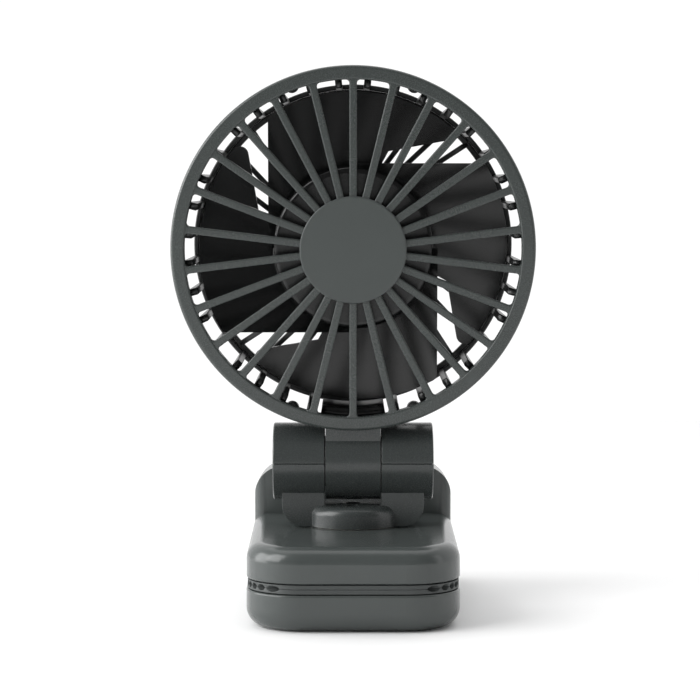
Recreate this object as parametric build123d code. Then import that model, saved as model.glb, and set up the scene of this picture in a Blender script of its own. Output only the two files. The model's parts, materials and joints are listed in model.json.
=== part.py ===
"""Clip-on desk fan: a caged fan head on a tilting and swivelling yoke, carried by a spring clip.

All sizes are in millimetres. +Z is up, the fan blows towards -Y and +X is to the right of
someone facing the fan. The origin is on the table, under the swivel axis.
"""
from build123d import *
from math import cos, hypot, radians, sin
import os

# ---- Driving dimensions ----------------------------------------------------------------

# Fan head
head_radius = 53.0          # outside of the front ring
ring_width = 4.05           # radial width of the ring's face
ring_depth = 3.1
ring_edge_round = 1.0
spoke_count = 26
spoke_width = 2.2
spoke_depth = 2.6
window_corner = 1.0         # rounding where a spoke meets the ring
badge_radius = 15.5         # plain cap in the middle of the grille
badge_proud = 0.5
badge_seat = 0.8            # depth of the pocket that the cap sits in
badge_rim = 1.4             # face left round that pocket
seat_step = 0.4             # the seat is this much smaller than the cap
glue_gap = 0.05
grille_thread = 2.2         # depth of the screw bores in the ring
grille_screw_bay = 1        # window, counted from the one beside the top, that a screw sits in
cage_depth = 29.5           # front plane of the ring to the back of the cage
cage_wall = 1.5             # radial thickness of the cage's ribs and rear ring
cage_lip = 0.6              # how far the cage's wall shows inside the ring
cage_rib_count = 36
cage_rib_width = 2.0
rear_ring_depth = 2.6
guard_rim = 1.6             # radial width of the rim of the rear guard
saddle_depth = 16.8         # wall of the cage above the neck
saddle_side = 1.2           # this wall is wider than the neck by this much on each side
join = 0.2                  # overlap of joined features in one moulding
collar_depth = 4.9
collar_wall = 3.0
collar_step = 0.4           # the collar is this much smaller than the ring
back_rib_width = 1.6
back_rib_depth = 1.8
back_rib_slant = 12.0       # degrees off the radial line
motor_cup_radius = 19.5
motor_cup_depth = 6.0
cup_wall = 1.6
rear_cap_radius = 14.0
rear_cap_depth = 1.4

# Impeller and motor
blade_count = 4
blade_gap = 0.85            # blade tips to the cage ribs
blade_thickness = 1.3
blade_front = 10.6          # depth of the trailing edges behind the ring's front plane
blade_back = 23.4           # depth of the leading edges
blade_camber = 3.2
blade_offset = 24.9         # trailing edge runs this far to the side of the axis
blade_lead_side = 10.6      # leading edge leaves the hub at this side and height
blade_lead_rise = 28.3
blade_lead_slope = 0.18
blade_root_side = 6.0       # outline of the blade's root, inside the hub
blade_root_rise = 19.9
blade_sheet_side = 30.7     # side at which the blade's sheet would reach its back
blade_tip_round = 2.5
impeller_hub_radius = 24.0
hub_front = 9.6
hub_depth = 12.0
hub_seat_depth = 9.0        # sleeve inside the hub that grips the motor's bell
hub_wall = 1.5
hub_edge_round = 2.0
bell_radius = 14.5
bell_wall = 0.9
bell_depth = 9.5
magnet_thickness = 1.6
magnet_lead = 0.5           # magnet behind the inside of the bell
air_gap = 0.5               # magnet to stator
stator_slots = 9
stator_depth = 4.5
stator_bore = 3.4
stator_lead = 1.8           # stator behind the inside of the bell
core_wall = 1.8
tooth_half = 0.8
shoe_thickness = 1.1
slot_opening = 0.7          # half the gap between two shoes
coil_wall = 0.6
coil_gap = 0.05             # coil to its tooth
coil_clear = 0.4            # coil to the core and to the shoe
tube_lead = 0.9             # tube ahead of the stator
tube_stand = 2.6            # length of the socket that holds the tube, and core to board
bearing_tube_wall = 0.8
shaft_radius = 1.0
running_gap = 0.04          # radial clearance of a shaft in its bearing
press_gap = 0.02            # radial clearance of a fixed fit
bush_length = 3.2
bush_setback = 3.5          # rear bush in front of the cup's back
clip_setback = 3.2          # shaft clip in front of the cup's back
clip_thickness = 0.4
clip_bite = 0.3             # depth of the clip's groove in the shaft
clip_opening = 0.5          # half the clip's opening
shaft_setback = 2.4
bell_edge_round = 0.8
motor_board_radius = 11.0
board_thickness = 1.2

# Neck and tilt hinge
barrel_radius = 11.5
barrel_half_length = 23.7
neck_half_width = 8.1
side_gap = 0.3              # neck to each ear of the yoke
slide_gap = 0.05            # washers to the faces they slide on
face_lead = 0.5             # ring's front plane ahead of the barrels
ring_drop = 0.6             # ring's lower edge below the barrels' tops
neck_cover_depth = 6.3      # rear part of the neck that comes off
neck_inset = 2.5            # back of the neck in front of the back of its barrel
neck_screw_spread = 4.6
neck_screw_rise = 1.4       # screw heads to the axle's bore
neck_screw_sink = 5.0       # depth of the recesses for their heads
neck_thread = 3.2
wire_channel = 1.6          # half the width, and the depth, of the channel for the wires
channel_rise = 1.2          # channel's lower end above the axle
rest_tilt = 4.7             # degrees forward of upright
axle_radius = 2.0
axle_head_radius = 3.8
axle_head_depth = 2.2
axle_head_chamfer = 0.5
friction_washer_radius = 7.5
friction_washer_thickness = 0.9
shell_wall = 1.8            # wall of the barrels
web_thickness = 3.0         # wall of the yoke that carries the axle
end_cap_depth = 1.6
end_cap_sink = 0.3
spring_washer_thickness = 1.0
nut_radius = 3.9
nut_depth = 2.6
axle_end = 0.8              # axle's end beyond its nut
barrel_chamfer = 0.3
parting_gap = 0.14          # barrel covers above the lower halves

# Yoke and swivel
disc_radius = 14.2
disc_height = 6.2
disc_edge_round = 2.8
ear_half_width = 21.0
ear_half_depth = 7.4
ear_corner = 6.4
notch_gap = 1.15            # neck barrel to the yoke below it
yoke_lift = 0.3             # yoke above the deck
spigot_radius = 6.0
wire_hole_radius = 2.4
retainer_radius = 9.5
retainer_thickness = 1.5
swivel_washer_thickness = 0.85
washer_inset = 1.0          # washers inside the edges of the disc and the retainer
notch_screw_radius = 2.05
notch_screw_offset = 6.2    # recess in the notch's floor, in front of the wire hole
notch_screw_depth = 3.5
retainer_thread = 3.2

# Clip base
base_reach = 51.3           # swivel axis to the front of the jaws
base_width_front = 59.2
base_width_rear = 63.4
front_corner = 15.5
rear_corner = 8.0
lower_jaw_height = 10.5
upper_jaw_height = 9.85
jaw_wall = 2.0
plate_thickness = 2.0
fit_gap = 0.1               # plates and covers in their openings
jaw_screw_side = 9.5        # jaw screws from the sides, the front and the lugs
jaw_screw_front = 15.0
jaw_screw_rear = 6.0
jaw_boss_radius = 2.7
screw_skin = 0.4            # plastic left over the lower jaw's screws
screw_sink = 0.6            # lower jaw's screw heads below its face
tail_gap = 2.0              # lugs to the solid tail of the lower jaw
lower_edge_round = 5.2
deck_edge_round = 4.5
lip_round = 0.6
hump_height = 15.0          # above the deck
hump_depth = 20.5
hump_step = 0.25            # hump's sides and back inside the jaw's outline
hump_top_round = 9.4
hump_front_round = 3.0
hump_crown_round = 1.5
hump_rear_round = 4.0
swing_gap = 0.7             # barrels to the hump as the yoke turns
pad_thickness = 1.5
pad_inset = 0.35
pad_split = 0.1             # between the two closed pads
pad_end_gap = 4.4           # back of the pads to the lugs
groove_pitch = 2.5
groove_radius = 1.1
groove_depth = 0.8
first_groove = 2.2

# Clip hinge
pivot_setback = 3.0         # pivot in front of the hump's face
pivot_pin_radius = 1.5
pivot_gap = 0.06            # radial clearance in the upper lugs
lug_radius = 3.6
lug_width = 5.0
lug_gap = 0.3
lower_lug_inner = 19.0      # inner face of each lower lug from the middle
lug_pocket_gap = 0.4
open_angle = 20.0           # degrees that the clip opens
wedge_gap = 0.4
spring_wire = 0.5           # radius of the spring's wire
spring_radius = 2.6
spring_turns = 3.5
coil_spacing = 0.06         # between neighbouring coils
spring_inner = 6.5          # inner end of each coil from the middle
spring_leg = 4.5
spring_clear = 0.7          # coils to the ends of their room

# Things in the base
cell_gap = 0.5
cell_depth = 9.0
cell_round = 1.5
board_width = 44.0
board_height = 17.0
button_radius = 3.6
button_proud = 0.8
button_travel = 0.6
button_gap = 0.15
button_flange = 1.0
button_flange_width = 1.2
button_round = 0.5
switch_side = 6.0
cover_width = 46.0
cover_height = 15.0
cover_corner = 4.0
cover_lip = 1.0
lip_thickness = 0.8
usb_width = 9.0
usb_height = 3.2
usb_wall = 0.35
usb_flat = 0.05             # flat left at each end of the port's outline
usb_sink = 0.4              # port behind the cover's face
usb_back = 1.0
usb_tongue_width = 6.0
usb_tongue_height = 0.7
usb_tongue_sink = 2.0
usb_offset = 14.0
usb_drop = 4.5              # port below the middle of the cover
led_count = 4
led_radius = 0.9
led_stand = 0.6             # lights off the board
led_pitch = 3.4
led_offset = -14.0

# Fasteners
screw_radius = 0.9
screw_head_radius = 1.9
screw_head_depth = 1.2
screw_gap = 0.05
slot_reach = 1.1            # half the length of the cross in a screw's head
slot_half = 0.2

# ---- Sizes that follow -----------------------------------------------------------------

ring_inner = head_radius - ring_width
cage_outer = ring_inner - 0.05
wall_outer = cage_outer - cage_lip
cage_inner = wall_outer - cage_wall
guard_radius = cage_inner - 0.05
collar_radius = head_radius - collar_step
collar_inner = collar_radius - collar_wall
blade_tip = cage_inner - blade_gap
head_rise = head_radius + barrel_radius - ring_drop
face_reach = barrel_radius + face_lead
neck_front = face_reach - ring_depth - 0.1
neck_back = barrel_radius - neck_inset
neck_split = barrel_radius - neck_cover_depth

upper_jaw_z = lower_jaw_height + 2 * pad_thickness
pivot_z = lower_jaw_height + pad_thickness
deck_z = upper_jaw_z + upper_jaw_height
hinge_z = deck_z + yoke_lift + disc_height + notch_gap + barrel_radius
notch_z = hinge_z - barrel_radius - notch_gap
deck_under = deck_z - jaw_wall
spigot_end = deck_under - swivel_washer_thickness - 3 * slide_gap
hump_y = hypot(barrel_half_length, barrel_radius) + swing_gap
rear_y = hump_y + hump_depth
hump_z = deck_z + hump_height
pivot_y = hump_y - pivot_setback
hump_share = (hump_y + base_reach) / (rear_y + hump_step + base_reach)
hump_half = (base_width_front + hump_share * (base_width_rear - base_width_front)) / 2 - hump_step
ear_inner = neck_half_width + side_gap
friction_washer_end = neck_half_width + slide_gap + friction_washer_thickness
web_end = ear_inner + web_thickness
cavity_radius = barrel_radius - shell_wall
lower_lug_outer = lower_lug_inner + lug_width
upper_lug_outer = lower_lug_inner - lug_gap
upper_lug_inner = upper_lug_outer - lug_width
spring_length = spring_turns * (2 * spring_wire + coil_spacing)
cover_z = (upper_jaw_z + plate_thickness + hump_z - jaw_wall) / 2

# Places: the head in its upright frame about the hinge, then the fan looked at along its axis.
# In the fan's frame z runs backwards from the ring's front plane, y is up and x is to the left.
head_place = Pos(0, 0, hinge_z) * Rot(rest_tilt, 0, 0)
fan_plane = Plane(origin=(0, -face_reach, head_rise), x_dir=(-1, 0, 0), z_dir=(0, 1, 0))
fan_place = head_place * Location(fan_plane)

# ---- Helpers ---------------------------------------------------------------------------


def x_rod(radius, start, end, y=0.0, z=0.0):
    """Round bar along X."""
    return Pos((start + end) / 2, y, z) * Rot(0, 90, 0) * Cylinder(radius, end - start)


def y_rod(radius, start, end, x=0.0, z=0.0):
    """Round bar along Y."""
    return Pos(x, (start + end) / 2, z) * Rot(90, 0, 0) * Cylinder(radius, end - start)


def z_rod(radius, start, end, x=0.0, y=0.0):
    """Round bar along Z."""
    return Pos(x, y, (start + end) / 2) * Cylinder(radius, end - start)


def z_tube(outer, inner, start, end):
    """Ring or tube about the Z axis."""
    return z_rod(outer, start, end) - z_rod(inner, start - 1, end + 1)


def block(x0, x1, y0, y1, z0, z1):
    """Box between two corners."""
    return Pos((x0 + x1) / 2, (y0 + y1) / 2, (z0 + z1) / 2) * Box(x1 - x0, y1 - y0, z1 - z0)


def both_sides(part):
    """The part and its mirror image across the middle plane."""
    return part + mirror(part, Plane.YZ)


def group(parts):
    """Separate solids in one node."""
    return Part() + parts


def polar(radius, angle):
    """Point at an angle in degrees, clockwise from the top as the fan is faced."""
    return (-radius * sin(radians(angle)), radius * cos(radians(angle)))


def screw(length):
    """Small pan-head screw, its head at z = 0 and above, its shank below."""
    head = z_rod(screw_head_radius, 0, screw_head_depth)
    head = chamfer(head.edges().group_by(Axis.Z)[-1], screw_head_depth / 3)
    slot_floor = screw_head_depth * 0.5
    slot = block(-slot_reach, slot_reach, -slot_half, slot_half, slot_floor, screw_head_depth + 1)
    slot += block(-slot_half, slot_half, -slot_reach, slot_reach, slot_floor, screw_head_depth + 1)
    return head - slot + z_rod(screw_radius, -length, 0)


nodes = {}


def save(name, shape):
    """Keep a finished sub-part under its name."""
    nodes[name] = shape


# ---- Fan head --------------------------------------------------------------------------


def grille_screw_places():
    """Four places round the ring, each midway between two spokes."""
    radius = (ring_inner + collar_radius) / 2
    angle = (grille_screw_bay + 0.5) * 360 / spoke_count
    return [Pos(*polar(radius, turn)) for turn in (angle, 180 - angle, 180 + angle, 360 - angle)]


def make_front_grille():
    """Ring, straight spokes and the seat for the centre cap, in one moulding."""
    wheel = Circle(ring_inner + ring_width / 2) - Circle(ring_inner)
    for turn in range(spoke_count):
        spoke = Pos(0, (ring_inner + badge_radius) / 2) * Rectangle(
            spoke_width, ring_inner - badge_radius + ring_width / 2)
        wheel += Rot(0, 0, 360 / spoke_count * turn) * spoke
    corners = [v for v in wheel.vertices() if abs(hypot(v.X, v.Y) - ring_inner) < 0.05]
    wheel = fillet(corners, window_corner)
    wheel += Circle(badge_radius - seat_step)
    ring = z_rod(head_radius, 0, ring_depth)
    ring = fillet(ring.edges().group_by(Axis.Z)[0], ring_edge_round)
    ring -= z_rod(ring_inner + join, -1, ring_depth + 1)
    grille = ring + extrude(wheel, spoke_depth)
    grille -= z_rod(badge_radius - badge_rim, -1, badge_seat)
    bores = [place * z_rod(screw_radius + screw_gap, ring_depth - grille_thread, ring_depth + 1)
             for place in grille_screw_places()]
    return fan_place * (grille - bores)


def make_centre_cap():
    """Plain round cap on the middle of the grille, with a spigot in its pocket."""
    cap = z_rod(badge_radius, -badge_proud, 0)
    cap = fillet(cap.edges().group_by(Axis.Z)[0], badge_proud * 0.8)
    cap += z_rod(badge_radius - badge_rim - fit_gap, 0, badge_seat - glue_gap)
    return fan_place * cap


def back_rib(turn):
    """One slanted rib on the back of the cage."""
    inner = motor_cup_radius - cup_wall / 2
    outer = guard_radius - guard_rim / 2
    length = (outer - inner) / cos(radians(back_rib_slant))
    rib = block(-back_rib_width / 2, back_rib_width / 2, -length / 2, length / 2,
                cage_depth - back_rib_depth, cage_depth)
    middle = (outer + inner) / 2
    return Rot(0, 0, turn) * Pos(0, middle, 0) * Rot(0, 0, back_rib_slant) * rib


def make_rear_cage():
    """Collar, side ribs, rear ring and the wall above the neck, in one moulding."""
    collar_end = ring_depth + collar_depth
    start = ring_depth + lip_round
    pitch = 360 / cage_rib_count
    saddle_half = neck_half_width + saddle_side
    side_view = Polyline((cage_inner, start), (collar_inner + join, start),
                         (collar_inner + join, collar_end - join), (wall_outer - join, cage_depth),
                         (cage_inner, cage_depth), close=True)
    rib = extrude(Plane.YZ.offset(-cage_rib_width / 2) * make_face(side_view), cage_rib_width)
    pieces = []
    for index in range(cage_rib_count):
        turn = pitch * (index + 0.5)
        side = -wall_outer * sin(radians(turn))
        below = cos(radians(turn)) < 0 and abs(side) < saddle_half
        if not below:
            pieces.append(Rot(0, 0, turn) * rib)
    pieces.append(z_tube(wall_outer, cage_inner, cage_depth - rear_ring_depth, cage_depth))
    saddle = z_tube(wall_outer, cage_inner + join, start, start + saddle_depth)
    saddle += z_tube(collar_inner + join, cage_inner + join, start, collar_end - join)
    saddle &= block(-saddle_half, saddle_half, -head_radius, 0, 0, cage_depth)
    pieces.append(saddle)
    bosses = [place * z_rod(screw_head_radius + join, ring_depth, collar_end)
              for place in grille_screw_places()]
    collar = z_tube(collar_radius, collar_inner, ring_depth, collar_end) + bosses
    collar &= z_rod(collar_radius, 0, cage_depth)
    cage = collar + pieces
    bores = [place * z_rod(screw_radius + screw_gap, 0, cage_depth) for place in grille_screw_places()]
    return fan_place * (cage - bores)


def make_rear_guard():
    """Disc of slanted ribs that closes the back of the cage, with the motor's cup in its middle."""
    cup_front = cage_depth - motor_cup_depth
    pieces = [back_rib(360 / cage_rib_count * (index + 0.5)) for index in range(cage_rib_count)]
    pieces.append(z_rod(motor_cup_radius, cup_front, cage_depth))
    rim = z_tube(guard_radius, guard_radius - guard_rim, cage_depth - back_rib_depth, cage_depth)
    guard = rim + pieces
    guard -= z_rod(motor_cup_radius - cup_wall, cup_front - 1, cage_depth - cup_wall)
    tube_outer = stator_bore - fit_gap
    guard += z_rod(tube_outer + cup_wall, cage_depth - cup_wall - tube_stand, cage_depth)
    guard -= z_rod(tube_outer, cup_front, cage_depth + 1)
    return fan_place * guard


def make_rear_cap():
    """Shallow domed cap over the back of the motor cup."""
    cap = z_rod(rear_cap_radius, cage_depth, cage_depth + rear_cap_depth)
    cap = fillet(cap.edges().group_by(Axis.Z)[-1], rear_cap_depth * 0.8)
    return fan_place * cap


def neck_outline():
    """The neck and its barrel, before they are split into arm and cover. Upright frame."""
    barrel = x_rod(barrel_radius, -neck_half_width, neck_half_width)
    arm = block(-neck_half_width, neck_half_width, -neck_front, neck_back, 0, head_rise)
    collar_end = ring_depth + collar_depth - face_reach
    arm -= y_rod(collar_radius, -face_reach, collar_end, 0, head_rise)
    arm -= y_rod(wall_outer, -face_reach, neck_back + 1, 0, head_rise)
    arm -= block(-head_radius, head_radius, -face_reach, neck_back + 1, head_rise - cage_inner, 2 * head_rise)
    return barrel + arm - x_rod(axle_radius + running_gap, -head_radius, head_radius)


def neck_screw_places():
    """Two screws that hold the neck's rear cover."""
    height = axle_radius + screw_head_radius + neck_screw_rise
    return [Pos(side * neck_screw_spread, 0, height) for side in (-1, 1)]


def make_neck():
    """The neck's arm and its rear cover, with the channel for the motor's wires between them."""
    whole = neck_outline()
    far = 4 * barrel_radius
    arm = whole & block(-far, far, -far, neck_split, -far, far)
    cover = whole & block(-far, far, neck_split, far, -far, far)
    arm -= block(-wire_channel, wire_channel, neck_split - wire_channel, neck_split,
                 axle_radius + channel_rise, head_rise - cage_inner)
    turned = Rot(-90, 0, 0)
    shoulder = barrel_radius - neck_screw_sink
    for place in neck_screw_places():
        cover -= place * y_rod(screw_head_radius + fit_gap, shoulder, far)
        cover -= place * y_rod(screw_radius + screw_gap, 0, far)
        arm -= place * y_rod(screw_radius + screw_gap, neck_split - neck_thread, far)
    length = shoulder - neck_split + neck_thread - join
    screws = [place * Pos(0, shoulder, 0) * turned * screw(length) for place in neck_screw_places()]
    save("neck_arm", head_place * arm)
    save("neck_rear_cover", head_place * cover)
    save("neck_cover_screws", head_place * group(screws))


def make_grille_screws():
    """Screws from behind that hold the front grille to the cage's collar."""
    back = ring_depth + collar_depth
    length = collar_depth + grille_thread - join
    screws = [place * Pos(0, 0, back) * screw(length) for place in grille_screw_places()]
    return fan_place * group(screws)


# ---- Motor -----------------------------------------------------------------------------

bell_front = hub_front + hub_wall
magnet_outer = bell_radius - bell_wall
magnet_inner = magnet_outer - magnet_thickness
stator_radius = magnet_inner - air_gap
stator_front = bell_front + bell_wall + stator_lead
tube_front = stator_front - tube_lead
tube_bore = stator_bore - fit_gap - bearing_tube_wall
tube_back = cage_depth
board_front = stator_front + stator_depth + tube_stand
core_radius = stator_bore + core_wall


def make_stator():
    """Laminated core with T-shaped teeth."""
    end = stator_front + stator_depth
    core = z_tube(core_radius, stator_bore - fit_gap, stator_front, end)
    shoe = z_tube(stator_radius, stator_radius - shoe_thickness, stator_front, end)
    for turn in range(stator_slots):
        tooth = block(-tooth_half, tooth_half, core_radius - join, stator_radius - shoe_thickness / 2,
                      stator_front, end)
        core += Rot(0, 0, 360 / stator_slots * turn) * tooth
        gap = block(-slot_opening, slot_opening, stator_radius - 2 * shoe_thickness, stator_radius + 1,
                    stator_front - 1, end + 1)
        shoe -= Rot(0, 0, 360 / stator_slots * (turn + 0.5)) * gap
    return fan_place * (core + shoe)


def make_windings():
    """One copper coil round each tooth."""
    inner = core_radius + coil_clear
    outer = stator_radius - shoe_thickness - coil_clear
    end = stator_front + stator_depth
    half = tooth_half + coil_gap
    thick = coil_gap + coil_wall
    coils = []
    for turn in range(stator_slots):
        coil = block(-half - coil_wall, half + coil_wall, inner, outer, stator_front - thick, end + thick)
        coil -= block(-half, half, inner - 1, outer + 1, stator_front - coil_gap, end + coil_gap)
        coils.append(Rot(0, 0, 360 / stator_slots * turn) * coil)
    return fan_place * group(coils)


def make_motor():
    """Everything in the motor except the core and its coils."""
    outer = stator_bore - fit_gap - press_gap
    save("bearing_tube", fan_place * z_tube(outer, tube_bore, tube_front, tube_back))
    bush_bore = shaft_radius + running_gap
    bush_radius = tube_bore - press_gap / 2
    front_bush = z_tube(bush_radius, bush_bore, tube_front, tube_front + bush_length)
    bush_end = tube_back - bush_setback
    back_bush = z_tube(bush_radius, bush_bore, bush_end - bush_length, bush_end)
    save("shaft_bushes", fan_place * group([front_bush, back_bush]))
    board = z_tube(motor_board_radius, stator_bore + glue_gap, board_front, board_front + board_thickness)
    save("motor_board", fan_place * board)
    bell = z_rod(bell_radius, bell_front, bell_front + bell_depth)
    bell = fillet(bell.edges().group_by(Axis.Z)[0], bell_edge_round)
    bell -= z_rod(magnet_outer, bell_front + bell_wall, bell_front + bell_depth + 1)
    bell -= z_rod(shaft_radius, 0, cage_depth)
    save("rotor_bell", fan_place * bell)
    magnet_front = bell_front + bell_wall + magnet_lead
    magnet = z_tube(magnet_outer, magnet_inner, magnet_front, bell_front + bell_depth)
    save("rotor_magnet", fan_place * magnet)
    clip_front = tube_back - clip_setback
    clip = z_tube(2 * shaft_radius, shaft_radius - clip_bite, clip_front, clip_front + clip_thickness)
    shaft = z_rod(shaft_radius, bell_front, tube_back - shaft_setback) - clip
    save("rotor_shaft", fan_place * shaft)
    clip -= block(-clip_opening, clip_opening, 0, 4 * shaft_radius, 0, cage_depth)
    save("shaft_clip", fan_place * clip)


# ---- Impeller --------------------------------------------------------------------------


def blade_outline():
    """Top blade as the fan is faced, drawn in the fan's own frame."""
    reach = 2 * head_radius
    lead_root = (-blade_lead_side, blade_lead_rise)
    lead_far = (-reach, blade_lead_rise + blade_lead_slope * (reach - blade_lead_side))
    corners = [(blade_offset, 0), (blade_offset, reach), (-reach, reach), lead_far, lead_root,
               (-blade_root_side, blade_root_rise), (0, 0)]
    area = make_face(Polyline(*corners, close=True))
    area &= Circle(blade_tip) - Circle(impeller_hub_radius - hub_wall)
    tips = [v for v in area.vertices() if abs(hypot(v.X, v.Y) - blade_tip) < 0.05]
    return fillet(tips, blade_tip_round)


def make_impeller():
    """Hub cup with cambered blades that turn clockwise as the fan is faced."""
    trailing = Vector(blade_offset, blade_front)
    leading = Vector(-blade_sheet_side, blade_back)
    chord = leading - trailing
    middle = (trailing + leading) * 0.5
    bend = (chord.length ** 2 / 4 + blade_camber ** 2) / (2 * blade_camber)
    across = Vector(-chord.Y, chord.X).normalized()
    if across.Y > 0:
        across = across * -1
    centre = middle + across * (bend - blade_camber)
    sheet = Circle(bend) - Circle(bend - blade_thickness)
    sheet = Pos(centre.X, centre.Y) * sheet
    column = extrude(Plane.XZ.offset(-2 * head_radius) * sheet, 2 * head_radius)
    blade = extrude(blade_outline(), cage_depth) & column
    hub = z_rod(impeller_hub_radius, hub_front, hub_front + hub_depth)
    hub = fillet(hub.edges().group_by(Axis.Z)[0], hub_edge_round)
    core = z_rod(impeller_hub_radius - hub_wall, hub_front + hub_wall, cage_depth)
    wheel = hub
    for turn in range(blade_count):
        wheel += Rot(0, 0, 360 / blade_count * turn) * blade
    seat_bore = bell_radius + press_gap
    seat = z_tube(seat_bore + hub_wall, seat_bore, hub_front + hub_wall / 2, hub_front + hub_seat_depth)
    wheel = wheel - core + seat
    return fan_place * wheel


# ---- Yoke and tilt hinge ---------------------------------------------------------------


def barrel_half(upper):
    """Half of the two outer barrels' shell: above or below the hinge's mid-height."""
    shell = x_rod(barrel_radius, ear_inner, barrel_half_length, 0, hinge_z)
    shell = chamfer(shell.edges().group_by(Axis.X)[-1], barrel_chamfer)
    far = 3 * barrel_radius
    low, high = (hinge_z + parting_gap, hinge_z + far) if upper else (hinge_z - far, hinge_z)
    return shell & block(0, far, -far, far, low, high)


def make_yoke():
    """Swivel disc, two ears, and the lower halves of the barrels."""
    base_z = deck_z + yoke_lift
    disc = z_rod(disc_radius, base_z, notch_z)
    disc = fillet(disc.edges().group_by(Axis.Z)[-1], disc_edge_round)
    ears = Rectangle(2 * ear_half_width, hinge_z - base_z)
    ears = fillet(ears.vertices().group_by(Axis.Y)[0], ear_corner)
    ears = Pos(0, ear_half_depth, (hinge_z + base_z) / 2) * Rot(90, 0, 0) * extrude(ears, 2 * ear_half_depth)
    ears &= block(-ear_half_width, ear_half_width, -barrel_radius, barrel_radius, base_z,
                  hinge_z - barrel_radius / 2)
    body = disc + ears + both_sides(barrel_half(False))
    body -= block(-ear_inner, ear_inner, -2 * barrel_radius, 2 * barrel_radius, notch_z, 2 * hinge_z)
    cavity = x_rod(cavity_radius, ear_inner - 1, barrel_half_length + 1, 0, hinge_z)
    body -= both_sides(cavity)
    web = x_rod(cavity_radius, ear_inner, ear_inner + web_thickness, 0, hinge_z)
    pocket = x_rod(friction_washer_radius + fit_gap, ear_inner - 1, friction_washer_end, 0, hinge_z)
    body += both_sides(web - pocket)
    body -= x_rod(axle_radius + press_gap, -barrel_half_length, barrel_half_length, 0, hinge_z)
    body += z_rod(spigot_radius, spigot_end, base_z + join)
    body -= z_rod(wire_hole_radius, spigot_end - 1, notch_z + 1)
    body -= z_rod(notch_screw_radius, notch_z - notch_screw_depth, notch_z + 1, 0, -notch_screw_offset)
    for place in retainer_screw_places():
        body -= place * z_rod(screw_radius + screw_gap, spigot_end - 1, spigot_end + retainer_thread)
    return body


def retainer_screw_places():
    """Three screws round the swivel's wire hole."""
    radius = (spigot_radius + wire_hole_radius) / 2
    return [Pos(radius * cos(radians(90 + turn)), radius * sin(radians(90 + turn)), 0)
            for turn in (0, 120, 240)]


def make_hinge_parts():
    """Barrel covers, end caps, axle, nut and washers of the tilt hinge."""
    cavity = x_rod(cavity_radius, ear_inner - 1, barrel_half_length + 1, 0, hinge_z)
    right = barrel_half(True) - cavity
    save("right_barrel_cover", right)
    save("left_barrel_cover", mirror(right, Plane.YZ))
    cap_end = barrel_half_length - end_cap_sink
    cap = x_rod(cavity_radius, cap_end - end_cap_depth, cap_end, 0, hinge_z)
    cap = chamfer(cap.edges().group_by(Axis.X)[-1], barrel_chamfer)
    save("right_end_cap", cap)
    save("left_end_cap", mirror(cap, Plane.YZ))
    bore = x_rod(axle_radius + fit_gap, 0, barrel_half_length, 0, hinge_z)
    washer = x_rod(friction_washer_radius, neck_half_width + slide_gap, friction_washer_end, 0, hinge_z) - bore
    save("friction_washers", group([washer, mirror(washer, Plane.YZ)]))
    nut_start = web_end + spring_washer_thickness
    save("hinge_spring_washer", x_rod(axle_head_radius, web_end, nut_start, 0, hinge_z) - bore)
    nut = extrude(RegularPolygon(nut_radius, 6), nut_depth) - z_rod(axle_radius, -1, nut_depth + 1)
    save("hinge_nut", Pos(nut_start, 0, hinge_z) * Rot(0, 90, 0) * nut)
    axle = x_rod(axle_radius, -web_end, nut_start + nut_depth + axle_end, 0, hinge_z)
    head = x_rod(axle_head_radius, -web_end - axle_head_depth, -web_end, 0, hinge_z)
    head = chamfer(head.edges().group_by(Axis.X)[0], axle_head_chamfer)
    save("hinge_axle", axle + head)


def make_swivel_parts():
    """Thrust washer, spring washer, retainer and its screws."""
    bore = spigot_radius + fit_gap
    thrust = z_tube(disc_radius - washer_inset, bore, deck_z + slide_gap, deck_z + yoke_lift)
    save("swivel_thrust_washer", thrust)
    washer_top = deck_under - slide_gap
    spring = z_tube(retainer_radius - washer_inset, bore, washer_top - swivel_washer_thickness, washer_top)
    save("swivel_spring_washer", spring)
    plate = z_tube(retainer_radius, wire_hole_radius, spigot_end - retainer_thickness, spigot_end)
    turned = Rot(180, 0, 0)
    screws = []
    for place in retainer_screw_places():
        plate -= place * z_rod(screw_radius + screw_gap, 0, deck_z)
        screws.append(place * Pos(0, 0, spigot_end - retainer_thickness) * turned
                      * screw(retainer_thickness + retainer_thread - join))
    save("swivel_retainer", plate)
    save("retainer_screws", group(screws))


# ---- Clip base -------------------------------------------------------------------------


def jaw_outline(inset=0.0):
    """Plan of a jaw: tapering to the front, with large front corners."""
    front = base_width_front / 2 - inset
    rear = base_width_rear / 2 - inset
    near = -base_reach + inset
    far = rear_y + hump_step - inset
    corners = [(-front, near), (front, near), (rear, far), (-rear, far)]
    plan = make_face(Polyline(*corners, close=True))
    by_y = plan.vertices().group_by(Axis.Y)
    plan = fillet(by_y[0], front_corner - inset)
    plan = fillet(plan.vertices().group_by(Axis.Y)[-1], rear_corner - inset)
    return plan


def slab(inset, low, high):
    """A jaw's outline as a plate."""
    return Pos(0, 0, low) * extrude(jaw_outline(inset), high - low)


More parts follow.
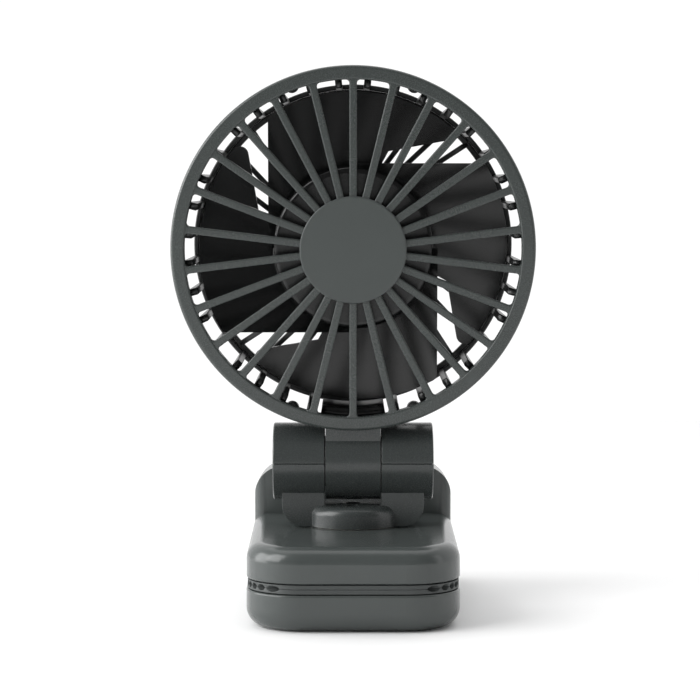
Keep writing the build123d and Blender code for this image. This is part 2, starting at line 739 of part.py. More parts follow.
def hump_block(inset):
    """Rounded block across the back of the upper jaw, as the common part of three outlines."""
    half = hump_half - inset
    near = hump_y + inset
    far = rear_y - inset
    top = hump_z - inset
    low = upper_jaw_z
    plan = Pos(0, (near + far) / 2) * Rectangle(2 * half, far - near)
    plan = fillet(plan.vertices().group_by(Axis.Y)[0], hump_front_round)
    plan = fillet(plan.vertices().group_by(Axis.Y)[-1], rear_corner - hump_step - inset)
    body = Pos(0, 0, low) * extrude(plan, top - low)
    face = Rectangle(2 * half, top - low)
    face = fillet(face.vertices().group_by(Axis.Y)[-1], hump_top_round - inset)
    body &= Pos(0, far, (low + top) / 2) * Rot(90, 0, 0) * extrude(face, far - near)
    side = Rectangle(far - near, top - low)
    side = fillet(side.vertices().group_by(Axis.Y)[-1].sort_by(Axis.X)[:1], hump_crown_round)
    side = fillet(side.vertices().group_by(Axis.Y)[-1].sort_by(Axis.X)[-1:], hump_rear_round - inset)
    side = Plane.YZ.offset(-half) * Pos((near + far) / 2, (low + top) / 2) * side
    body &= extrude(side, 2 * half)
    return body


def jaw_screw_places():
    """Four screws that hold each jaw's plate."""
    side = base_width_front / 2 - jaw_screw_side
    rows = (-base_reach + jaw_screw_front, pivot_y - lug_radius - jaw_screw_rear)
    return [Pos(x, y, 0) for x in (-side, side) for y in rows]


def pivot_pockets(inner, outer, low, high, rear=0.0):
    """Room for the other jaw's lugs and the springs, on both sides."""
    reach = lug_radius + lug_pocket_gap
    return both_sides(block(inner, outer, pivot_y - reach, pivot_y + reach + rear, low, high))


def make_upper_shell():
    """Deck with its rear hump, open underneath."""
    deck = slab(0, upper_jaw_z, deck_z)
    deck = fillet(deck.edges().group_by(Axis.Z)[-1], deck_edge_round)
    deck = fillet(deck.edges().group_by(Axis.Z)[0], lip_round)
    shell = deck + hump_block(0)
    room = slab(jaw_wall, upper_jaw_z - 1, deck_z - jaw_wall)
    room = fillet(room.edges().group_by(Axis.Z)[-1], deck_edge_round - jaw_wall)
    shell -= room + hump_block(jaw_wall)
    for place in jaw_screw_places():
        shell += place * z_rod(jaw_boss_radius, upper_jaw_z + plate_thickness, deck_under + join)
        shell -= place * z_rod(screw_radius + screw_gap, upper_jaw_z, deck_under - screw_sink)
    shell -= z_rod(spigot_radius + 2 * running_gap, deck_under - 1, deck_z + 1)
    opening = cover_face(fit_gap)
    shell -= Pos(0, rear_y + 1, cover_z) * Rot(90, 0, 0) * extrude(opening, jaw_wall + 2)
    return shell


def cover_face(grow):
    """Outline of the hump's rear cover."""
    face = Rectangle(cover_width + 2 * grow, cover_height + 2 * grow)
    return fillet(face.vertices(), cover_corner)


def make_rear_cover():
    """Cover in the back of the hump, with holes for the button, the port and the lights."""
    inner = rear_y - jaw_wall
    cover = Pos(0, rear_y, cover_z) * Rot(90, 0, 0) * extrude(cover_face(0), jaw_wall)
    lip = Rectangle(cover_width + 2 * cover_lip, cover_height - 2 * lip_thickness)
    cover += Pos(0, inner, cover_z) * Rot(90, 0, 0) * extrude(lip, lip_thickness)
    start = inner - 2 * lip_thickness
    cover -= y_rod(button_radius + button_gap, start, rear_y + 1, 0, cover_z)
    port = RectangleRounded(usb_width + 2 * fit_gap, usb_height + 2 * fit_gap, usb_height / 2)
    cover -= Pos(usb_offset, rear_y + 1, cover_z - usb_drop) * Rot(90, 0, 0) * extrude(port, rear_y + 1 - start)
    for place in led_places():
        cover -= place * y_rod(led_radius + press_gap, start, rear_y + 1, 0, cover_z)
    return cover


def led_places():
    """Row of charge lights."""
    start = led_offset - led_pitch * (led_count - 1) / 2
    return [Pos(start + led_pitch * index, 0, 0) for index in range(led_count)]


board_y = hump_y + jaw_wall + 2 * cell_gap + cell_depth


def make_base_insides():
    """Cell, control board, switch, port, lights and button in the hump."""
    floor_z = upper_jaw_z + plate_thickness
    inner_top = hump_z - jaw_wall
    cell_height = inner_top - floor_z - 2 * cell_gap
    cell_half = hump_half - jaw_wall - hump_top_round / 2
    near = hump_y + jaw_wall + cell_gap
    cell = block(-cell_half, cell_half, near, near + cell_depth, floor_z + cell_gap,
                 floor_z + cell_gap + cell_height)
    cell = fillet(cell.edges().filter_by(Axis.X), cell_round)
    cell &= hump_block(jaw_wall + cell_gap / 2)
    save("battery_cell", cell)
    half = board_width / 2
    board = block(-half, half, board_y, board_y + board_thickness, cover_z - board_height / 2,
                  cover_z + board_height / 2)
    save("control_board", board)
    face = board_y + board_thickness
    flange_back = rear_y - jaw_wall - lip_thickness - slide_gap
    flange_front = flange_back - button_flange
    button = y_rod(button_radius, flange_front, rear_y + button_proud, 0, cover_z)
    button = fillet(button.edges().group_by(Axis.Y)[-1], button_round)
    button += y_rod(button_radius + button_flange_width, flange_front, flange_back, 0, cover_z)
    save("speed_button", button)
    half = switch_side / 2
    switch_end = flange_front - button_travel - fit_gap
    save("tact_switch", block(-half, half, face, switch_end, cover_z - half, cover_z + half))
    round_outer = usb_height / 2 - usb_flat
    outer = RectangleRounded(usb_width, usb_height, round_outer)
    inner = RectangleRounded(usb_width - 2 * usb_wall, usb_height - 2 * usb_wall, round_outer - usb_wall)
    start = rear_y - usb_sink
    length = start - face
    port = extrude(outer, length) - extrude(inner, length - usb_back)
    tongue = extrude(Rectangle(usb_tongue_width, usb_tongue_height), length - usb_tongue_sink)
    port += Pos(0, 0, usb_tongue_sink) * tongue
    save("usb_c_port", Pos(usb_offset, start, cover_z - usb_drop) * Rot(90, 0, 0) * port)
    pipes = [place * y_rod(led_radius, face + led_stand, rear_y - fit_gap, 0, cover_z)
             for place in led_places()]
    save("charge_lights", group(pipes))


def lugs(inner, outer, low, high):
    """Pair of hinge lugs about the clip's pivot."""
    lug = x_rod(lug_radius, inner, outer, pivot_y, pivot_z)
    lug += block(inner, outer, pivot_y - lug_radius, pivot_y + lug_radius, low, high)
    return both_sides(lug)


def make_upper_plate():
    """Floor of the upper jaw, with its hinge lugs."""
    top = upper_jaw_z + plate_thickness
    plate = slab(jaw_wall + fit_gap, upper_jaw_z, top)
    spring_end = spring_inner + spring_length + spring_wire + spring_clear
    plate -= pivot_pockets(spring_inner - spring_wire - spring_clear, spring_end, upper_jaw_z - 1, top + 1,
                           spring_leg)
    plate -= pivot_pockets(lower_lug_inner - lug_gap, lower_lug_outer + lug_gap, upper_jaw_z - 1, top + 1)
    plate += lugs(upper_lug_inner, upper_lug_outer, pivot_z, top)
    plate -= x_rod(pivot_pin_radius + pivot_gap, -base_width_rear, base_width_rear, pivot_y, pivot_z)
    for place in jaw_screw_places():
        plate -= place * z_rod(screw_radius + screw_gap, upper_jaw_z - 1, top + 1)
        plate -= place * z_rod(screw_head_radius + fit_gap, upper_jaw_z - 1, upper_jaw_z + screw_head_depth)
    return plate


def make_lower_shell():
    """Lower jaw: a tub with a solid tail that thins towards the back so that the clip can open."""
    block_all = slab(0, 0, lower_jaw_height)
    block_all = fillet(block_all.edges().group_by(Axis.Z)[0], lower_edge_round)
    block_all = fillet(block_all.edges().group_by(Axis.Z)[-1], lip_round)
    room = slab(jaw_wall, jaw_wall, lower_jaw_height + 1)
    room = fillet(room.edges().group_by(Axis.Z)[0], lower_edge_round - jaw_wall)
    tail_y = pivot_y + lug_radius + tail_gap
    far = 2 * base_reach
    room &= block(-far, far, -far, tail_y, 0, far)
    shell = block_all - room
    boss = lower_jaw_height - plate_thickness
    for place in jaw_screw_places():
        shell += place * z_rod(jaw_boss_radius, jaw_wall - join, boss)
        shell -= place * z_rod(screw_radius + screw_gap, -1, boss + 1)
        shell -= place * z_rod(screw_head_radius + fit_gap, -1, screw_head_depth + screw_sink)
    shell += lugs(lower_lug_inner, lower_lug_outer, jaw_wall - join, pivot_z)
    shell -= x_rod(pivot_pin_radius + press_gap / 2, -base_width_rear, base_width_rear, pivot_y, pivot_z)
    rise = (upper_jaw_z - pivot_z) / cos(radians(open_angle)) - wedge_gap
    wedge = Pos(0, pivot_y, pivot_z + rise) * Rot(-open_angle, 0, 0) * block(-far, far, 0, far, 0, far)
    return shell - (wedge & block(-far, far, pivot_y + lug_radius, far, 0, far))


def make_lower_plate():
    """Lid of the lower jaw."""
    low = lower_jaw_height - plate_thickness
    plate = slab(jaw_wall + fit_gap, low, lower_jaw_height)
    tail_y = pivot_y + lug_radius + tail_gap - fit_gap
    far = 2 * base_reach
    plate &= block(-far, far, -far, tail_y, 0, far)
    top = lower_jaw_height + 1
    plate -= pivot_pockets(spring_inner - spring_wire - spring_clear, upper_lug_inner, low - 1, top, spring_leg)
    plate -= pivot_pockets(upper_lug_inner - lug_gap, lower_lug_outer + fit_gap, low - 1, top)
    for place in jaw_screw_places():
        plate -= place * z_rod(screw_radius + screw_gap, low - 1, lower_jaw_height - screw_skin)
    return plate


def make_pad(low, high, groove_z):
    """Rubber grip pad with shallow round grooves across it, centred at groove_z."""
    pad = slab(pad_inset, low, high)
    far = 2 * base_reach
    end_y = pivot_y - lug_radius - pad_end_gap
    pad &= block(-far, far, -far, end_y, 0, far)
    start = -base_reach + pad_inset + first_groove
    count = int((end_y - start) / groove_pitch)
    grooves = [x_rod(groove_radius, -far, far, start + index * groove_pitch, groove_z)
               for index in range(count)]
    return pad - grooves


def make_springs():
    """Two torsion springs on the clip's pin."""
    path = Helix(pitch=spring_length / spring_turns, height=spring_length, radius=spring_radius, lefthand=True)
    start = path @ 0
    section = Plane(origin=start, z_dir=path % 0) * Circle(spring_wire)
    coil = sweep(section, path, is_frenet=True)
    coil += y_rod(spring_wire, 0, spring_leg, spring_radius, 0)
    coil += y_rod(spring_wire, 0, spring_leg, -spring_radius, spring_length)
    return Pos(spring_inner, pivot_y, pivot_z) * Rot(0, 90, 0) * coil


def make_jaw_screws(upper):
    """Four screws for one jaw."""
    screws = []
    for place in jaw_screw_places():
        if upper:
            seat = Pos(0, 0, upper_jaw_z + screw_head_depth)
            length = deck_under - screw_sink - upper_jaw_z - screw_head_depth
        else:
            seat = Pos(0, 0, screw_head_depth + screw_sink)
            length = lower_jaw_height - screw_skin - screw_head_depth - screw_sink
        screws.append(place * seat * Rot(180, 0, 0) * screw(length - join))
    return group(screws)


def make_base():
    """Both jaws with their plates, pads, pin and screws."""
    save("lower_jaw_shell", make_lower_shell())
    save("lower_jaw_plate", make_lower_plate())
    groove_rise = groove_radius - groove_depth
    save("lower_grip_pad", make_pad(lower_jaw_height, pivot_z, pivot_z + groove_rise))
    save("lower_jaw_screws", make_jaw_screws(False))
    pin = x_rod(pivot_pin_radius, -lower_lug_outer, lower_lug_outer, pivot_y, pivot_z)
    save("clip_pivot_pin", pin)
    save("upper_jaw_shell", make_upper_shell())
    save("upper_jaw_plate", make_upper_plate())
    pad_z = pivot_z + pad_split
    save("upper_grip_pad", make_pad(pad_z, upper_jaw_z, pad_z - groove_rise))
    save("upper_jaw_screws", make_jaw_screws(True))
    save("hump_rear_cover", make_rear_cover())
    make_base_insides()


# ---- Assembly --------------------------------------------------------------------------

save("front_grille", make_front_grille())
save("grille_centre_cap", make_centre_cap())
save("rear_cage", make_rear_cage())
save("rear_guard", make_rear_guard())
save("rear_hub_cap", make_rear_cap())
save("grille_screws", make_grille_screws())
make_neck()
save("stator_core", make_stator())
save("stator_windings", make_windings())
make_motor()
save("impeller", make_impeller())
save("yoke_body", make_yoke())
make_hinge_parts()
make_swivel_parts()
make_base()
spring = make_springs()
save("clip_springs", group([spring, mirror(spring, Plane.YZ)]))

os.makedirs("parts", exist_ok=True)
for name, shape in nodes.items():
    export_step(shape, f"parts/{name}.step")
    print(f"{name}: {len(shape.solids())} solid(s), {shape.volume:.1f} mm3")
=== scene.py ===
# %% [markdown]
# # A small clip-on fan, finished around its frame
# The frame is the fan's engineering model: every part is already in its place and at its real
# size. This lesson gives the parts their looks. Shapes that repeat, such as the spokes of the
# grille and the ribs of the cage, are grown with Geometry Nodes. The plastics and the
# rubber are built from procedural shader nodes.

# %% Load the frame
import json
import math

import bmesh
import bpy
from mathutils import Matrix, Vector


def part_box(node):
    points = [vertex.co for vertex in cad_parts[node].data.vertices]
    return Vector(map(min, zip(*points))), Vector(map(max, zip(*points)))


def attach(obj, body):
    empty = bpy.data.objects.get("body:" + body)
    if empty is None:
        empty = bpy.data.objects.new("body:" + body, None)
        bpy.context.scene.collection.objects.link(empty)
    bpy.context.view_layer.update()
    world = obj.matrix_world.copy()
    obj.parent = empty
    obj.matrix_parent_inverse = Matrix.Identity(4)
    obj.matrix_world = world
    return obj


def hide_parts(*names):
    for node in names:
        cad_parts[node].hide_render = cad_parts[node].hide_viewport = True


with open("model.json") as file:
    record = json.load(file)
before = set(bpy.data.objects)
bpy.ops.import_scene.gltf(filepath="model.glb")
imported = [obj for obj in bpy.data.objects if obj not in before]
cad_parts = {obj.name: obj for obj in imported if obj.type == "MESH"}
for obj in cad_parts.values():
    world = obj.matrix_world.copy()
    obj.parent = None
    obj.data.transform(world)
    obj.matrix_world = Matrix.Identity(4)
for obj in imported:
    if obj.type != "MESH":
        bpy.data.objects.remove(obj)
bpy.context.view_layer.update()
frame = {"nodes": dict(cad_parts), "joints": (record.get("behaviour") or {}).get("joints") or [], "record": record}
joints = {joint["name"]: joint for joint in frame["joints"]}
MM = 0.001
MERGE = 1e-6

# %% [markdown]
# ## Where things are
# The head leans a little forward, so its pieces are easiest to describe in the fan's own space:
# its origin is the middle of the grille's front plane, its z runs backwards along the motor's
# axis and its y is up. The spin joint of the frame says where that axis is.

# %% The fan's own space
spin = joints["fan_spin"]
backward = -Vector(spin["axis"]).normalized()
fan_up = Vector((1, 0, 0)).cross(backward)
fan_side = fan_up.cross(backward)
fan_space = Matrix((
    (fan_side.x, fan_up.x, backward.x, spin["pos_m"][0]),
    (fan_side.y, fan_up.y, backward.y, spin["pos_m"][1]),
    (fan_side.z, fan_up.z, backward.z, spin["pos_m"][2]),
    (0, 0, 0, 1),
))
print("fan axis points backwards along", tuple(round(value, 4) for value in backward))


# %% Reading places from the frame
def solids_of(part):
    """The box of each separate solid of a frame part, lowest corner and highest corner."""
    work = bmesh.new()
    work.from_mesh(frame["nodes"][part].data)
    bmesh.ops.remove_doubles(work, verts=work.verts, dist=MERGE)
    left = set(work.verts)
    boxes = []
    while left:
        seed = left.pop()
        island, edge = [seed], [seed]
        while edge:
            near = {e.other_vert(v) for v in edge for e in v.link_edges} & left
            left -= near
            island += near
            edge = list(near)
        low = Vector([min(v.co[i] for v in island) for i in range(3)])
        high = Vector([max(v.co[i] for v in island) for i in range(3)])
        boxes.append((low, high))
    work.free()
    return sorted(boxes, key=lambda box: tuple(box[0]))


def middle(box):
    """Centre of a box."""
    return (box[0] + box[1]) / 2


def put(name, data):
    """A new object with this data, in the scene."""
    made = bpy.data.objects.new(name, data)
    bpy.context.scene.collection.objects.link(made)
    return made


def smooth(data):
    """Shade every face of a mesh smooth."""
    for face in data.polygons:
        face.use_smooth = True


grille_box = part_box("front_grille")
RING_RADIUS = (grille_box[1].x - grille_box[0].x) / 2
print("ring radius", round(RING_RADIUS / MM, 2), "mm")

# %% [markdown]
# ## Building node trees from a script
# Both shader trees and geometry trees are nodes joined by links. A few short helpers keep each
# tree readable: one adds a node with its settings and its links, one fills inputs whose names have
# spaces, and two do the sums.


# %% Helpers for node trees
def add(tree, kind, settings=None, **inputs):
    """Add a node, set its properties and fill its inputs: a value, or a socket to link from."""
    made = tree.nodes.new(kind)
    for name, value in (settings or {}).items():
        setattr(made, name, value)
    for name, value in inputs.items():
        socket = made.inputs[int(name[1:]) if name[0] == "i" and name[1:].isdigit() else name]
        if isinstance(value, bpy.types.NodeSocket):
            tree.links.new(value, socket)
        else:
            socket.default_value = value
    return made


def fill(made, **inputs):
    """Set inputs whose names have spaces, written with underscores."""
    tree = made.id_data
    for name, value in inputs.items():
        socket = made.inputs[name.replace("_", " ")]
        if isinstance(value, bpy.types.NodeSocket):
            tree.links.new(value, socket)
        else:
            socket.default_value = value
    return made


def calc(tree, operation, first, second=0.0):
    """A Math node's result."""
    return add(tree, "ShaderNodeMath", {"operation": operation}, i0=first, i1=second).outputs[0]


def squared(tree, value):
    """A value times itself."""
    return calc(tree, "MULTIPLY", value, value)


print("node helpers:", ", ".join(helper.__name__ for helper in (add, fill, calc, squared)))



# %% [markdown]
# ## Finishes shared by the plastics
# Injection-moulded plastic is never perfectly even. The mould is spark-eroded, which leaves a fine
# grain, and handling polishes the high spots. Two groups give effects to any material: one
# makes the grain's height and a soft mottling of colour and gloss, the other finds edges that stand
# out and lightens their colour, a painted highlight, while the material also makes them smoother.


# %% Shader groups
def shader_group(name, inputs, outputs):
    """An empty shader group with named sockets."""
    tree = bpy.data.node_groups.new(name, "ShaderNodeTree")
    for label, kind, value in inputs:
        socket = tree.interface.new_socket(label, in_out="INPUT", socket_type=kind)
        socket.default_value = value
    for label, kind in outputs:
        tree.interface.new_socket(label, in_out="OUTPUT", socket_type=kind)
    start = tree.nodes.new("NodeGroupInput")
    end = tree.nodes.new("NodeGroupOutput")
    return tree, start, end


def make_grain_group():
    """Spark-eroded mould grain: colour, roughness and bump height."""
    made = [("Colour", "NodeSocketColor"), ("Roughness", "NodeSocketFloat"), ("Height", "NodeSocketFloat")]
    tree, start, end = shader_group("Moulded grain", [
        ("Colour", "NodeSocketColor", (0.1, 0.1, 0.1, 1)),
        ("Roughness", "NodeSocketFloat", 0.45),
        ("Grain Scale", "NodeSocketFloat", 3500.0),
        ("Mottle", "NodeSocketFloat", 0.06),
    ], made)
    place = add(tree, "ShaderNodeTexCoord").outputs["Object"]
    grain = add(tree, "ShaderNodeTexNoise", Vector=place, Detail=3.0, Roughness=0.6)
    tree.links.new(start.outputs["Grain Scale"], grain.inputs["Scale"])
    cloud = add(tree, "ShaderNodeTexNoise", Vector=place, Scale=95.0, Detail=4.0, Roughness=0.55)
    shift = calc(tree, "SUBTRACT", cloud.outputs["Fac"], 0.5)
    shift = calc(tree, "MULTIPLY", shift, start.outputs["Mottle"])
    lift = calc(tree, "ADD", calc(tree, "MULTIPLY", shift, 4.0), 1.0)
    colour = add(tree, "ShaderNodeVectorMath", {"operation": "SCALE"}, i0=start.outputs["Colour"])
    tree.links.new(lift, colour.inputs["Scale"])
    rough = calc(tree, "ADD", start.outputs["Roughness"], shift)
    speck = calc(tree, "MULTIPLY", calc(tree, "SUBTRACT", grain.outputs["Fac"], 0.5), 0.12)
    rough = calc(tree, "ADD", rough, speck)
    tree.links.new(colour.outputs["Vector"], end.inputs["Colour"])
    tree.links.new(rough, end.inputs["Roughness"])
    tree.links.new(grain.outputs["Fac"], end.inputs["Height"])
    return tree


def make_edge_highlight_group():
    """Painted highlight on edges that stand out: a mask from how far the surface turns outwards."""
    tree, start, end = shader_group("Painted edge highlight", [
        ("Colour", "NodeSocketColor", (0.1, 0.1, 0.1, 1)),
        ("Worn Colour", "NodeSocketColor", (0.2, 0.2, 0.2, 1)),
        ("Amount", "NodeSocketFloat", 0.5),
    ], [("Colour", "NodeSocketColor"), ("Mask", "NodeSocketFloat")])
    place = add(tree, "ShaderNodeTexCoord").outputs["Object"]
    point = add(tree, "ShaderNodeNewGeometry").outputs["Pointiness"]
    sharp = add(tree, "ShaderNodeMapRange", Value=point)
    fill(sharp, From_Min=0.52, From_Max=0.60)
    patch = add(tree, "ShaderNodeTexNoise", Vector=place, Scale=160.0, Detail=3.0)
    uneven = add(tree, "ShaderNodeMapRange", Value=patch.outputs["Fac"])
    fill(uneven, From_Min=0.35, From_Max=0.7)
    mask = calc(tree, "MULTIPLY", sharp.outputs[0], uneven.outputs[0])
    mask = calc(tree, "MULTIPLY", mask, start.outputs["Amount"])
    # Painted highlight: the colour is lightened where the edge mask is high.
    mix = add(tree, "ShaderNodeMix", {"data_type": "RGBA"})
    tree.links.new(mask, mix.inputs["Factor"])
    tree.links.new(start.outputs["Colour"], mix.inputs[6])
    tree.links.new(start.outputs["Worn Colour"], mix.inputs[7])
    tree.links.new(mix.outputs[2], end.inputs["Colour"])
    tree.links.new(mask, end.inputs["Mask"])
    return tree


GRAIN = make_grain_group()
EDGE_HIGHLIGHT = make_edge_highlight_group()
print("groups:", GRAIN.name, "and", EDGE_HIGHLIGHT.name)

# %% [markdown]
# ## The finishes
# The fan is nearly all one dark grey plastic, in slightly different glosses: the base is the
# shiniest, and the cage and the blades are close to black. Metals show only on the screws, in the
# charging port and inside. Two functions make them all, so that a finish is one line of colour and
# roughness.


# %% Materials
# How much lighter a stood-out edge is painted: a painted highlight.
HIGHLIGHT_LIGHTER = 1.35
RUB_POLISH = 0.08
PLASTIC_RELIEF = 0.0002
METAL_RELIEF = 0.0001
METAL_BUMP = 0.05
SCRATCH = 0.12


def blank(name):
    """A material, its node tree and its Principled shader."""
    made = bpy.data.materials.new(name)
    made.use_nodes = True
    tree = made.node_tree
    shader = tree.nodes["Principled BSDF"]
    return made, tree, shader


def plastic(name, colour, roughness, grain=3500.0, bump=0.06, mottle=0.06, edge_highlight=0.5, coat=0.0):
    """Moulded plastic or rubber: grain, mottling, and a painted highlight on edges, which are also made glossier.
    """
    made, tree, shader = blank(name)
    skin = add(tree, "ShaderNodeGroup", {"node_tree": GRAIN})
    fill(skin, Colour=(*colour, 1), Roughness=roughness, Grain_Scale=grain, Mottle=mottle)
    # Stood-out edges get a painted highlight in their colour, and the same mask lowers their roughness.
    edge = add(tree, "ShaderNodeGroup", {"node_tree": EDGE_HIGHLIGHT}, Colour=skin.outputs["Colour"])
    fill(edge, Worn_Colour=(*[min(1, part * HIGHLIGHT_LIGHTER) for part in colour], 1), Amount=edge_highlight)
    tree.links.new(edge.outputs["Colour"], shader.inputs["Base Color"])
    polish = calc(tree, "MULTIPLY", edge.outputs["Mask"], RUB_POLISH)
    gloss = calc(tree, "SUBTRACT", skin.outputs["Roughness"], polish)
    tree.links.new(gloss, shader.inputs["Roughness"])
    relief = add(tree, "ShaderNodeBump", Height=skin.outputs["Height"], Strength=bump,
                 Distance=PLASTIC_RELIEF)
    tree.links.new(relief.outputs["Normal"], shader.inputs["Normal"])
    shader.inputs["Coat Weight"].default_value = coat
    return made


def metal(name, colour, roughness, stretch=(1, 1, 1)):
    """Turned, pressed or drawn metal, with fine marks along one direction."""
    made, tree, shader = blank(name)
    place = add(tree, "ShaderNodeTexCoord").outputs["Object"]
    turned = add(tree, "ShaderNodeMapping", Vector=place, Scale=stretch)
    marks = add(tree, "ShaderNodeTexNoise", Vector=turned.outputs[0], Scale=1400.0, Detail=5.0)
    change = calc(tree, "MULTIPLY", calc(tree, "SUBTRACT", marks.outputs["Fac"], 0.5), SCRATCH)
    tree.links.new(calc(tree, "ADD", change, roughness), shader.inputs["Roughness"])
    tone = add(tree, "ShaderNodeMix", {"data_type": "RGBA"}, Factor=marks.outputs["Fac"])
    tone.inputs[6].default_value = (*[part * 0.86 for part in colour], 1)
    tone.inputs[7].default_value = (*[min(1, part * 1.1) for part in colour], 1)
    tree.links.new(tone.outputs[2], shader.inputs["Base Color"])
    relief = add(tree, "ShaderNodeBump", Height=marks.outputs["Fac"], Strength=METAL_BUMP,
                 Distance=METAL_RELIEF)
    tree.links.new(relief.outputs["Normal"], shader.inputs["Normal"])
    shader.inputs["Metallic"].default_value = 1.0
    return made


finish = {
    "grille_grey": plastic("Grille grey", (0.044, 0.051, 0.049), 0.27, bump=0.02, mottle=0.03),
    "cap_grey": plastic("Cap grey", (0.052, 0.060, 0.058), 0.33, bump=0.02, mottle=0.03),
    "cage_black": plastic("Cage charcoal", (0.010, 0.011, 0.011), 0.32, bump=0.03, edge_highlight=0.25),
    "impeller_black": plastic("Impeller black", (0.004, 0.0045, 0.0045), 0.24, bump=0.01,
                              mottle=0.02, edge_highlight=0.2),
    "body_grey": plastic("Hinge grey", (0.043, 0.049, 0.048), 0.27, bump=0.02, mottle=0.03),
    "base_grey": plastic("Base grey", (0.058, 0.066, 0.064), 0.22, bump=0.02, mottle=0.04),
    "pad_rubber": plastic("Pad rubber", (0.052, 0.058, 0.057), 0.55, grain=2200.0, bump=0.12,
                          edge_highlight=0.2),
    "button_rubber": plastic("Button rubber", (0.055, 0.058, 0.057), 0.65, bump=0.12, edge_highlight=0.3),
    "screw_steel": metal("Blackened screws", (0.16, 0.16, 0.17), 0.38),
    "bright_steel": metal("Bright steel", (0.62, 0.62, 0.63), 0.28, stretch=(1, 6, 6)),
    "core_steel": metal("Pressed steel", (0.42, 0.42, 0.43), 0.36),
    "copper_wire": metal("Copper wire", (0.78, 0.36, 0.17), 0.32, stretch=(8, 1, 8)),
    "brass": metal("Brass", (0.74, 0.57, 0.27), 0.27),
    "bronze": metal("Sintered bronze", (0.42, 0.30, 0.18), 0.5),
    "circuit_board": plastic("Board lacquer", (0.020, 0.110, 0.055), 0.33, grain=900.0, bump=0.05,
                             coat=0.4),
    "magnet_black": plastic("Bonded ferrite", (0.045, 0.045, 0.050), 0.6, grain=2500.0, bump=0.2),
    "washer_nylon": plastic("Nylon", (0.72, 0.71, 0.66), 0.42, mottle=0.03),
    "cell_wrap": plastic("Cell wrap", (0.10, 0.22, 0.46), 0.25, bump=0.02, coat=0.3),
    "light_pipe": plastic("Light pipe", (0.80, 0.82, 0.82), 0.2, bump=0.02, mottle=0.02),
}
print(len(finish), "finishes")


# %% Dress the frame's own parts
def dress(piece, material):
    """Give a piece one material."""
    piece.data.materials.clear()
    piece.data.materials.append(material)


slot_of = {row["node"]: row["material_slot"] for row in frame["record"]["subparts"]}
for part, shape in frame["nodes"].items():
    dress(shape, finish[slot_of[part]])
print(len(slot_of), "parts dressed")

# %% [markdown]
# ## The camera
# The fan is looked at almost level, from just over half a metre, with a longish lens, which keeps
# the ring round and the base from spreading towards the viewer.

# %% Camera
CAMERA_PLACE = Vector((-0.9, -538.6, 93.6)) * MM
CAMERA_DOWN = math.radians(1.9)
view = bpy.data.cameras.new("View")
view.sensor_width = 36.0
view.lens = 92.6
view.clip_start = 0.01
camera = put("Camera", view)
camera.location = CAMERA_PLACE
camera.rotation_euler = (math.pi / 2 - CAMERA_DOWN, 0, 0)
bpy.context.scene.camera = camera
print("camera", round(CAMERA_PLACE.length / MM), "mm away, lens", round(view.lens, 1), "mm")

# %% [markdown]
# ## The floor and the light
# The light is that of a white studio: two large soft boxes to the left, one overhead and a weak one
# to the right. The floor stops a little way behind the fan and the world is white beyond it, which
# hides the join when the fan is seen from the front.


# %% Floor and lights
FLOOR_SIDE = 1.6
FLOOR_FRONT = -1.2
FLOOR_BACK = 0.75
FLOOR_TONE = (0.93, 0.93, 0.93, 1)
FLOOR_ROUGHNESS = 0.7


def soft_box(name, place, aim, size, power):
    """Rectangular soft light aimed at a point."""
    data = bpy.data.lights.new(name, "AREA")
    data.shape = "RECTANGLE"
    data.size, data.size_y = size
    data.energy = power
    lamp = put(name, data)
    lamp.location = place
    lamp.rotation_euler = (Vector(aim) - Vector(place)).to_track_quat("-Z", "Y").to_euler()


def make_floor():
    """Pale floor that ends in white."""
    verts = [(x, y, 0) for y in (FLOOR_FRONT, FLOOR_BACK) for x in (-FLOOR_SIDE, FLOOR_SIDE)]
    data = bpy.data.meshes.new("Floor")
    data.from_pydata(verts, [], [(0, 1, 3, 2)])
    smooth(data)
    floor = put("Floor", data)
    white, tree, shader = blank("Floor white")
    shader.inputs["Base Color"].default_value = FLOOR_TONE
    shader.inputs["Roughness"].default_value = FLOOR_ROUGHNESS
    dress(floor, white)


def make_world():
    """White behind the fan and dim on the camera's side, so that dark plastic keeps its contrast."""
    world = bpy.data.worlds.new("Studio")
    world.use_nodes = True
    tree = world.node_tree
    way = add(tree, "ShaderNodeTexCoord").outputs["Generated"]
    parts = add(tree, "ShaderNodeSeparateXYZ", i0=way)
    behind = add(tree, "ShaderNodeMapRange", {"interpolation_type": "SMOOTHSTEP"},
                 Value=parts.outputs["Y"])
    fill(behind, From_Min=-0.35, From_Max=0.25, To_Min=0.20, To_Max=1.05)
    sky = tree.nodes["Background"]
    sky.inputs["Color"].default_value = (1.0, 1.0, 1.0, 1)
    tree.links.new(behind.outputs[0], sky.inputs["Strength"])
    bpy.context.scene.world = world


make_floor()
make_world()
AIM = (0, 0, 0.09)
soft_box("Key", (-0.80, -0.45, 0.55), AIM, (0.55, 0.85), 8.0)
soft_box("Left", (-1.05, 0.02, 0.30), AIM, (0.7, 0.9), 9.0)
soft_box("Fill", (0.95, -0.25, 0.35), AIM, (0.30, 0.80), 0.8)
soft_box("Top", (0.0, 0.30, 1.5), (0, 0.1, 0), (1.8, 1.8), 9.0)
bpy.context.scene.view_settings.view_transform = "Standard"
print("lights:", ", ".join(sorted(lamp.name for lamp in bpy.data.lights)))

# %% [markdown]
# ## Growing meshes with Geometry Nodes
# A tree is put on an object that holds the one bar to repeat. It is evaluated, and its result is
# kept as a plain mesh, so that no tree is left on the piece. Inputs are set by their socket's
# identifier, because names can repeat. Every tree ends in Realize Instances and Set Material.


